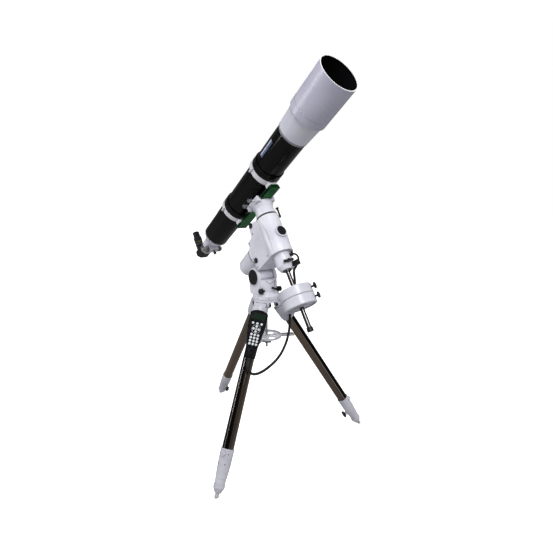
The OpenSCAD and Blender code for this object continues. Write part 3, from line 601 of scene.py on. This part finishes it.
def rounded_slab(bm, centre, ex, ey, ez, w, h, d, corner, edge=0.8, arc=6):
    """Slab w by h millimetres with round corners, d thick along ez from centre."""
    outline = []
    for cx, cy, a0 in ((1, 1, 0), (-1, 1, 90), (-1, -1, 180), (1, -1, 270)):
        for i in range(arc + 1):
            a = math.radians(a0 + 90 * i / arc)
            x = cx * (w / 2 - corner)
            y = cy * (h / 2 - corner)
            outline.append((x, y, math.cos(a), math.sin(a)))
    rings = []
    for r, lift in ((corner - edge, 0), (corner, edge), (corner, d - edge), (corner - edge, d)):
        level = centre + ez * (lift * MM)
        rings.append([bm.verts.new(level + ex * ((x + r * ca) * MM) + ey * ((y + r * sa) * MM))
                      for x, y, ca, sa in outline])
    n = len(outline)
    for a, b in zip(rings, rings[1:]):
        for i in range(n):
            bm.faces.new((a[i], a[(i + 1) % n], b[(i + 1) % n], b[i]))
    bm.faces.new(rings[0])
    bm.faces.new(rings[-1])


# ---------- fittings ----------
INK_BLACK = (0.02, 0.02, 0.022)
HEAD = head(0, 0, 0)
POLAR_END = head(0, 0, -12)
TUBE = tube(0, 0, 0)

# Setting circles: a dark gap ring and a graduated ring on each axis
gap_ring = scale_ring("gap_ring_black", head(0, 0, 86.5), Q, 72,
                      (0.008, 0.008, 0.010), (0.03, 0.03, 0.035))
turned_piece("declination_gap_ring", band_profile(38, 45.2, 86.5, 93.5), HEAD, Q,
             gap_ring, "declination")
dec_scale = scale_ring("dec_scale_white", head(0, 0, 93.6), Q, 120,
                       (0.78, 0.78, 0.84), (0.30, 0.30, 0.33))
turned_piece("declination_scale_ring", band_profile(38, 43.9, 93.6, 98.0), HEAD, Q,
             dec_scale, "declination")
turned_piece("polar_cap_seam", band_profile(49.5, 53.9, -133.4, -131.2, 0.2), POLAR_END, P,
             M["knob"], "altitude")
polar_scale = scale_ring("ra_scale_white", POLAR_END + P * (-131 * MM), P, 120,
                         (0.72, 0.72, 0.78), (0.04, 0.04, 0.05))
turned_piece("polar_scale_ring", band_profile(49.5, 53.6, -131, -124), POLAR_END, P,
             polar_scale, "altitude")

# Altitude discs: raised rim and centre boss on each side
cap_lo, cap_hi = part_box("altitude_caps")
pivot = Vector(JOINT["altitude_tilt"]["pos_m"])
DISC = [(0, -0.5), (31.5, -0.5), (32.2, 0.6), (31, 1.4), (28.6, 1.2), (27.6, 0.3), (11, 0.3),
        (10, 1.0), (7, 1.3), (0, 1.3)]
for tag, sign, face in (("near", -1, cap_lo.y), ("far", 1, cap_hi.y)):
    turned_piece(f"altitude_disc_{tag}", DISC, Vector((pivot.x, face, pivot.z)), Y * sign,
                 M["cap"], "azimuth")

# Seams on the round front wall of the azimuth base: a shallow V and an upright
WALL_R = 43.1
SEAM_R = 0.75 * MM


def on_wall(degrees, height):
    """Point on the base's front wall: an angle from +X and a height in millimetres."""
    a = math.radians(degrees)
    return Vector((WALL_R * math.cos(a), WALL_R * math.sin(a), height)) * MM


def wall_seam(bm, start, end, steps=12):
    """Fine line on the wall between two (angle, height) places."""
    shares = [i / steps for i in range(steps + 1)]
    places = [[a + (b - a) * k for a, b in zip(start, end)] for k in shares]
    sweep(bm, [on_wall(*place) for place in places], SEAM_R, 8)


bm = bmesh.new()
for start, end in (((-38, 702.5), (-15, 689.5)), ((-15, 689.5), (24, 703)), ((17.5, 699), (17.5, 661))):
    wall_seam(bm, start, end)
make("azimuth_base_seams", bm, M["felt"], "azimuth")

# Polar port: bright lip round the plug and a finger rim on it
turned_piece("polar_port_lip", band_profile(20.2, 24.2, 53.4, 55.6, 0.8), HEAD, P,
             M["ring"], "ra")
PLUG_RIM = [(0, 55.5), (18.9, 55.5), (19.4, 56.5), (18, 57.4), (15.5, 57.1), (14.5, 56.3),
            (0, 56.3)]
turned_piece("polar_plug_rim", PLUG_RIM, HEAD, P, M["cap"], "ra")

# Counterweight shaft collar and the bushes in the weights
COLLAR = [(9.1, -152), (15, -152), (17, -150), (17, -146.2), (9.1, -146.2), (9.1, -152)]
turned_piece("shaft_collar", COLLAR, HEAD, Q, M["chrome"], "ra")
HALF_WEIGHT = 19.25
BUSH_DEPTH = 4
BUSH_PROUD = 0.1
for which, body in (("upper", "weight_a"), ("lower", "weight_b")):
    lo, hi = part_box(which + "_weight")
    middle = ((lo + hi) / 2 - CROSS).dot(Q) / MM
    for end, sign in (("top", 1), ("under", -1)):
        face = middle + sign * HALF_WEIGHT
        span = sorted((face - sign * BUSH_DEPTH, face + sign * BUSH_PROUD))
        turned_piece(f"{which}_weight_bush_{end}", band_profile(9.2, 14, *span), HEAD, Q,
                     M["steel"], body)

# Knurled grips
knob_spot = Vector(JOINT["focus_knob_turn"]["pos_m"])
FOCUS_GRIP = [(12, 27), (15.3, 27), (15.9, 28), (15.9, 37.5), (15.3, 38.6), (12, 38.6), (12, 27)]
FOCUS_FACE = [(0, 46.6), (11.2, 46.6), (11.2, 47.5), (9.5, 48.2), (4, 47.6), (3.4, 48.6),
              (0, 48.6)]
for tag, sign in (("near", -1), ("far", 1)):
    grip = knurl(f"focus_grip_{tag}", (0.30, 0.26, 0.26), 0.32, knob_spot, Y, 70, 1.0)
    turned_piece(f"focus_grip_{tag}", FOCUS_GRIP, knob_spot, Y * sign, grip, "focus_wheel")
    turned_piece(f"focus_knob_face_{tag}", FOCUS_FACE, knob_spot, Y * sign, M["aluminium"],
                 "focus_wheel")
SADDLE_GRIP = [(0, -77), (7, -77), (8, -76), (8, -63), (7.4, -61.5), (4.5, -60), (0, -60)]
for i, x in enumerate((-20, 20)):
    spot = head(x, 0, 159)
    grip = knurl(f"saddle_grip_{i}", (0.42, 0.42, 0.44), 0.3, spot, Y, 40, 1.0)
    turned_piece(f"saddle_screw_grip_{i}", SADDLE_GRIP, spot, Y, grip, "saddle_jaw")
RING_GRIP = [(0, 8.6), (6.5, 8.6), (8.4, 10), (8.4, 20), (7.4, 22.2), (3, 22.6), (0, 22.6)]
STUD_PAST_HINGE = 3 * MM
FELT_HALF = 10.4
for which in ("front", "rear"):
    hinge = Vector(JOINT[which + "_ring_open"]["pos_m"])
    spot = hinge + Y * (2 * abs(hinge.y) + STUD_PAST_HINGE)
    grip = knurl(f"{which}_clamp_grip", (0.62, 0.62, 0.68), 0.35, spot, Q, 36)
    turned_piece(f"{which}_ring_clamp_grip", RING_GRIP, spot, Q, grip, which + "_ring")
    x = (hinge - CROSS).dot(P) / MM
    lining = band_profile(59.7, 60.25, x - FELT_HALF, x + FELT_HALF, 0.1)
    turned_piece(f"{which}_ring_felt", lining, TUBE, P, M["felt"], "telescope",
                 96)

# Telescope: focus lock screw, tube seams, objective retaining ring
LOCK_SCREW = [(0, -70), (6, -70), (7.5, -68.5), (7.5, -60), (6, -58.5), (3, -58), (3, -46),
              (0, -46)]
lock_spot = tube(-486, 0, 0)
turned_piece("focus_lock_screw", LOCK_SCREW, lock_spot, Q,
             knurl("focus_lock_grip", INK_BLACK, 0.4, lock_spot, Q, 24), "telescope")
for i, x in enumerate((-405, 303)):
    turned_piece(f"tube_seam_{i}", band_profile(59.0, 60.0, x - 0.8, x + 0.8, 0.2), TUBE, P,
                 M["steel"], "telescope", 96)
RETAINER = [(57.5, 423), (60.5, 423), (60.5, 428), (59.5, 429), (57.5, 427), (57.5, 423)]
turned_piece("objective_retaining_ring", RETAINER, TUBE, P, M["felt"], "telescope",
             96)
turned_piece("dew_shield_joint_line", band_profile(72.0, 72.55, 424, 425.2, 0.1), TUBE, P,
             M["steel"], "telescope", 128)

# Star diagonal and eyepiece: clamp rings, rubber ribs, rolled eyecup, eye lens
eye_lo, eye_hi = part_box("eyepiece")
EYE_X = ((eye_lo + eye_hi) / 2 - CROSS).dot(P) / MM
EYE = tube(EYE_X, 0, 0)
EYE_CLAMP = [(16.2, 50), (20.6, 50), (21.2, 51), (21.2, 57.5), (20.4, 58.6), (16.2, 58.6),
             (16.2, 50)]
turned_piece("diagonal_eye_clamp", EYE_CLAMP, EYE, Q,
             knurl("eye_clamp_grip", INK_BLACK, 0.3, EYE, Q, 48), "diagonal")
RIB_PITCH = 4
ribs = [(16.5, 68)]
for k in range(7):
    h = 69 + k * RIB_PITCH
    ribs += [(20.6, h), (21.4, h + 0.6), (21.4, h + 2.2), (20.6, h + 2.8)]
ribs += [(20.4, 98), (16.5, 98), (16.5, 68)]
turned_piece("eyepiece_rubber_grip", ribs, EYE, Q, M["rubber"], "ocular")
EYECUP = [(11, 122), (15.6, 121), (17.6, 122.5), (18.0, 126), (17.2, 129.4), (15.2, 130.2),
          (13.4, 129), (12.6, 126), (11, 122)]
turned_piece("eyepiece_eyecup", EYECUP, EYE, Q, M["rubber"], "ocular")
EYE_LENS = [(0, 121), (10.8, 121), (10.8, 122.5), (6, 124.2), (0, 124.8)]
turned_piece("eyepiece_eye_lens", EYE_LENS, EYE, Q,
             glass("eye_lens_coating", (0.12, 0.14, 0.2)), "ocular")
turned_piece("eyepiece_band", band_profile(20, 20.9, 66.4, 67.8, 0.2), EYE, Q,
             plastic("eyepiece_band_gold", (0.32, 0.25, 0.10), 0.25, 0.03), "ocular")
turned_piece("diagonal_nose_ring", band_profile(22, 24.4, -572, -566), TUBE, P,
             knurl("nose_ring_grip", INK_BLACK, 0.35, TUBE, P, 56), "diagonal")
bm = bmesh.new()
rounded_slab(bm, tube(EYE_X + 14, 0, -22), P, Y, -Q, 30, 36, 1.6, 5)
make("diagonal_mirror_cover", bm, M["diagonal"], "diagonal")


# Screws that show on the castings
def ring_of_screws(centre, e1, e2, r, count, start, size):
    """Places for screws standing out of a round wall, start in degrees."""
    places = []
    for i in range(count):
        a = math.radians(start + 360 * i / count)
        away = e1 * math.cos(a) + e2 * math.sin(a)
        places.append((centre + away * (r * MM), away, size))
    return places


X = Vector((1, 0, 0))
COVER_SCREWS = ((-112, 36), (-112, -72), (-24, -66), (-66, 58))
screws("mount_screws",
       [(head(x, -46, z), -Y, 2.6) for x, z in COVER_SCREWS]
       + [(head(x, 46, z), Y, 2.6) for x, z in COVER_SCREWS],
       M["steel"], "ra")
screws("saddle_screws_small", [(head(x, 38, 150), Y, 2.2) for x in (-30, 0, 30)],
       M["steel"], "declination")
screws("focuser_screws",
       ring_of_screws(tube(-413, 0, 0), Y, Q, 60.6, 6, 30, 1.8)
       + [(tube(x, y, -48), -Q, 1.8) for x in (-507, -484) for y in (-18, 18)],
       M["steel"], "telescope")
screws("azimuth_flange_screws", ring_of_screws(Z * 0.631, X, Y, 58, 8, 18, 2.2),
       M["steel"], "azimuth")

# Legs: clamp screws and lips, foot rings, socket lips
BOLT_HEAD = [(0, 27.4), (7.4, 27.4), (7.6, 29), (6.6, 31), (3.6, 31.6), (3.2, 30), (0, 30)]
CLAMP_LIP = [(22.6, 73.5), (25.2, 73.5), (25.9, 74.4), (25.7, 77.6), (24.4, 78.6), (22.6, 78.2),
             (22.6, 73.5)]
# (height over the knob, distance from the tube's axis, angle in radians)
CLAMP_SCREWS = ((62, 24.2, 0.75), (28, 23.2, 0.55), (62, 24.2, -0.75), (28, 23.2, -0.55))
for side in LEG_SIDES:
    o, out, across, up = leg_axes(side)
    knob = (Vector(JOINT[side + "_leg_knob_turn"]["pos_m"]) - o).dot(up) / MM
    places = []
    for h, r, a in CLAMP_SCREWS:
        away = out * math.cos(a) + across * math.sin(a)
        places.append((leg(side, 0, 0, knob + h) + away * (r * MM), away, 2.0))
    body = side + "_leg"
    screws(f"{side}_clamp_screws", places, M["knob"], body)
    turned_piece(f"{side}_clamp_bolt_head", BOLT_HEAD, leg(side, 0, 0, knob + 61), out,
                 M["silver"], body)
    turned_piece(f"{side}_clamp_lip", CLAMP_LIP, leg(side, 0, 0, knob), up, M["foot"], body)
    turned_piece(f"{side}_foot_ring", band_profile(18, 21.0, knob - 44, knob - 40, 0.8), o, up,
                 M["foot"], side + "_foot")
    turned_piece(f"{side}_socket_lip", band_profile(22.4, 29.4, -87, -83, 0.8), o, up,
                 M["silver"], body)

# ---------- hand controller ----------
FACE = -Vector(JOINT["handset_key_press"]["axis"]).normalized()
CASE_AXIS, _, _, LEG_UP = leg_axes("front")
SIDE = LEG_UP.cross(FACE).normalized()
CASE_TOP = -42
FACE_GAP = 65.25


def on_face(across_mm, down_mm, lift=0.0):
    """Point on the hand controller's front, millimetres from its top centre."""
    level = CASE_AXIS + LEG_UP * ((CASE_TOP - down_mm) * MM)
    return level + FACE * ((FACE_GAP + lift) * MM) + SIDE * (across_mm * MM)


lcd = Shader("display_green")
DOT = 2 * math.pi / 0.0011
rows = lcd.math("SINE", lcd.math("MULTIPLY", lcd.along(CASE_AXIS, LEG_UP), DOT))
columns = lcd.math("SINE", lcd.math("MULTIPLY", lcd.along(CASE_AXIS, SIDE), DOT))
dots = lcd.ramp(lcd.math("MULTIPLY", rows, columns), -1, 1)
lcd.finish(lcd.mix(dots, (0.003, 0.012, 0.005), (0.006, 0.024, 0.010)), 0.3, edge=0, spec=0.015)
bezel = plastic("bezel_black", (0.005, 0.006, 0.006), 0.3, 0.03, spec=0.03)
bm = bmesh.new()
rounded_slab(bm, on_face(0, 27, -0.5), SIDE, LEG_UP, FACE, 56, 30, 1.4, 4)
make("display_bezel", bm, bezel, "front_leg")
bm = bmesh.new()
rounded_slab(bm, on_face(0, 27, 0.3), SIDE, LEG_UP, FACE, 48, 20, 1.2, 2, 0.5)
make("display_window", bm, lcd.mat, "front_leg")
PAD_RING = [(15.5, -0.4), (16.8, -0.4), (16.8, 0.7), (16.3, 1.1), (15.9, 0.7), (15.5, -0.4)]
PAD_CENTRE = [(0, -0.4), (3.4, -0.4), (3.4, 0.6), (2.8, 1.0), (0, 1.0)]
bm = bmesh.new()
lathe(bm, PAD_RING, on_face(0, 76), FACE, 64)
lathe(bm, PAD_CENTRE, on_face(0, 76), FACE, 32)
make("direction_pad_ring", bm, M["keys"], "front_leg")
KEY_CAP = [(0, 0.9), (4.5, 0.9), (4.9, 1.4), (4.7, 2.2), (3.6, 2.8), (1.8, 2.5), (0, 2.4)]
key_spots = [(c * 17, 54) for c in (-1, 0, 1)] + [(10, 76), (0, 66), (-10, 76), (0, 86)]
key_spots += [(c * 13, 99 + r * 12) for r in range(4) for c in (-1, 0, 1)]
bm = bmesh.new()
for x, down in key_spots:
    lathe(bm, KEY_CAP, on_face(x, down), FACE, 28)
make("key_caps", bm, M["keys"], "keys")
bm = bmesh.new()
for sign in (-1, 1):
    rounded_slab(bm, on_face(sign * 33.6, 40, -19), LEG_UP, FACE, SIDE * sign, 60, 8, 1.6, 3)
rounded_slab(bm, on_face(0, 187, -19), SIDE, FACE, -LEG_UP, 24, 16, 5, 5, 1.2)
make("handset_grip_strips", bm, M["rubber"], "front_leg")
bm = bmesh.new()
rounded_slab(bm, on_face(0, 70, -33), SIDE, LEG_UP, -FACE, 26, 44, 3, 4)
rounded_slab(bm, on_face(0, 70, -36), SIDE, LEG_UP, -FACE, 14, 20, 7, 3)
make("handset_hanger", bm, M["rubber"], "front_leg")

# ---------- cables ----------
CABLE_R = 5.2 * MM
JUMPER_R = 3.8 * MM
CORD = plastic("cable_jacket", (0.009, 0.009, 0.010), 0.45, 0.08)
cable_in = on_face(0, 187, -14)
cable_out = cable_in - LEG_UP * (34 * MM)
HANGING = ((130, 42, 750), (115, 60, 694), (98, 64, 622), (88, 58, 555), (112, 34, 502),
           (154, -20, 462), (186, -86, 430), (172, -142, 392), (146, -172, 380))
run = [head(50, 24, -136), head(24, 28, -144)] + [Vector(p) * MM for p in HANGING]
run += [cable_out, cable_in]
STEPS = 12
path = smooth_path(run, STEPS)
# (body above, body below, first and last place on the run)
CABLE_SPANS = (("ra", "altitude", 0, 2), ("altitude", "azimuth", 2, 4), ("azimuth", "hub", 4, 6),
               ("hub", "front_leg", 6, 9))
for a, b, i, j in CABLE_SPANS:
    bm = bmesh.new()
    sweep(bm, path[i * STEPS:j * STEPS + 1], CABLE_R)
    piece = make(f"control_cable_{b}", bm, CORD, b, ride=False)
    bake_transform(piece)
PLUG = [(0, -7), (6.0, -7), (6.8, -4), (7.2, 6), (7.4, 12), (0, 12)]
bm = bmesh.new()
sweep(bm, path[9 * STEPS:], CABLE_R)
lathe(bm, PLUG, cable_in - LEG_UP * (8 * MM), LEG_UP, 24)
cord_end = make("control_cable_plug_end", bm, CORD, "front_leg")
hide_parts("handset_cable")

# Jumper from the declination motor to the polar motor, and its two plugs
JUMP = ((36, 22, -97), (48, 23, -101), (57, 24, -112), (59, 25, -124), (54, 24, -132))
bm = bmesh.new()
sweep(bm, smooth_path([head(*p) for p in JUMP], STEPS), JUMPER_R)
make("motor_jumper_cable", bm, CORD, "ra")
bm = bmesh.new()
radial = (P * 0.86 + Y * 0.5).normalized()
tangent = Q.cross(radial)
rounded_slab(bm, head(0, 0, -97) + radial * (31 * MM), tangent, Q, radial, 16, 11, 14, 2.5, 1.0)
rounded_slab(bm, head(0, 0, -90) + radial * (41 * MM), tangent, Q, radial, 10, 12, 7, 2.5, 1.0)
rounded_slab(bm, head(0, 0, -135) + radial * (31 * MM), tangent, Q, radial, 20, 20, 28, 4, 1.0)
make("motor_plugs", bm, M["knob"], "ra")

# ---------- studio ----------
HALF_FLOOR = 30.0
FLOOR_GLOW = 0.72
WORLD_LOW = 0.50
WORLD_HIGH = 0.95
GLOSS_DIMMING = 0.78
corners = [(-HALF_FLOOR, -HALF_FLOOR, 0), (HALF_FLOOR, -HALF_FLOOR, 0),
           (HALF_FLOOR, HALF_FLOOR, 0), (-HALF_FLOOR, HALF_FLOOR, 0)]
floor_mesh = bpy.data.meshes.new("floor")
floor_mesh.from_pydata(corners, [], [(0, 1, 2, 3)])
floor = bpy.data.objects.new("floor", floor_mesh)
bpy.context.scene.collection.objects.link(floor)
pale = Shader("pale_floor")
tone = pale.mix(pale.ramp(pale.noise(1.5, 2), 0.3, 0.7), (0.93, 0.93, 0.94), (0.90, 0.90, 0.91))
seen = pale.t.nodes.new("ShaderNodeLightPath").outputs["Is Camera Ray"]
# pale to the camera, darker in reflections, so that black and plated pieces stay dark
pale.finish(pale.mix(seen, (0.30, 0.30, 0.31), tone), 0.9, edge=0, spec=0.1)
pale.bsdf.inputs["Emission Color"].default_value = (1, 1, 1, 1)
pale.link(pale.math("MULTIPLY", seen, FLOOR_GLOW), pale.bsdf.inputs["Emission Strength"])
floor_mesh.materials.append(pale.mat)
floor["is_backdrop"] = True

# The sky: white to the camera, brighter overhead than at the horizon, dimmed in reflections
world = bpy.data.worlds.new("studio")
bpy.context.scene.world = world
world.use_nodes = True
sky = world.node_tree
back = sky.nodes["Background"]
coord = sky.nodes.new("ShaderNodeTexCoord")
split = sky.nodes.new("ShaderNodeSeparateXYZ")
rise = sky.nodes.new("ShaderNodeMapRange")
sky.links.new(coord.outputs["Generated"], split.inputs[0])
sky.links.new(split.outputs["Z"], rise.inputs["Value"])
for key, v in (("From Min", -0.1), ("From Max", 0.9), ("To Min", WORLD_LOW), ("To Max", WORLD_HIGH)):
    rise.inputs[key].default_value = v
ray = sky.nodes.new("ShaderNodeLightPath")
gloss = sky.nodes.new("ShaderNodeMath")
gloss.operation = "MULTIPLY_ADD"
sky.links.new(ray.outputs["Is Glossy Ray"], gloss.inputs[0])
gloss.inputs[1].default_value = -GLOSS_DIMMING
gloss.inputs[2].default_value = 1.0
dim = sky.nodes.new("ShaderNodeMath")
dim.operation = "MULTIPLY"
sky.links.new(rise.outputs[0], dim.inputs[0])
sky.links.new(gloss.outputs[0], dim.inputs[1])
pick = sky.nodes.new("ShaderNodeMix")
pick.data_type = "FLOAT"
sky.links.new(ray.outputs["Is Camera Ray"], pick.inputs[0])
sky.links.new(dim.outputs[0], pick.inputs[2])
pick.inputs[3].default_value = 1.0
back.inputs["Color"].default_value = (1, 1, 1, 1)
sky.links.new(pick.outputs[0], back.inputs["Strength"])


def softbox(name, at, size, power, tint=(1, 1, 1)):
    """Rectangular light aimed at the middle of the part."""
    data = bpy.data.lights.new(name, "AREA")
    data.shape = "RECTANGLE"
    data.size, data.size_y = size
    data.energy = power
    data.color = tint
    obj = bpy.data.objects.new(name, data)
    obj.location = at
    obj.rotation_euler = (CENTRE - Vector(at)).to_track_quat("-Z", "Y").to_euler()
    bpy.context.scene.collection.objects.link(obj)


CENTRE = (cad_lo + cad_hi) / 2
softbox("key", (2.4, -1.2, 3.0), (1.2, 1.2), 62)
softbox("side", (-1.7, -2.6, 1.9), (0.35, 2.6), 20, (0.97, 0.98, 1.0))
softbox("rim", (-2.2, 2.2, 2.6), (1.6, 1.6), 20)

lens = bpy.data.cameras.new("camera")
lens.sensor_width = 36
lens.lens = 24.52
lens.clip_start = 0.05
camera = bpy.data.objects.new("camera", lens)
camera.location = (1.26041, -0.90103, 1.02322)
camera.rotation_euler = (math.radians(78.67), 0, math.radians(52.86))
bpy.context.scene.collection.objects.link(camera)
bpy.context.scene.camera = camera
bpy.context.scene.view_settings.view_transform = "Standard"

lo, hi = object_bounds()
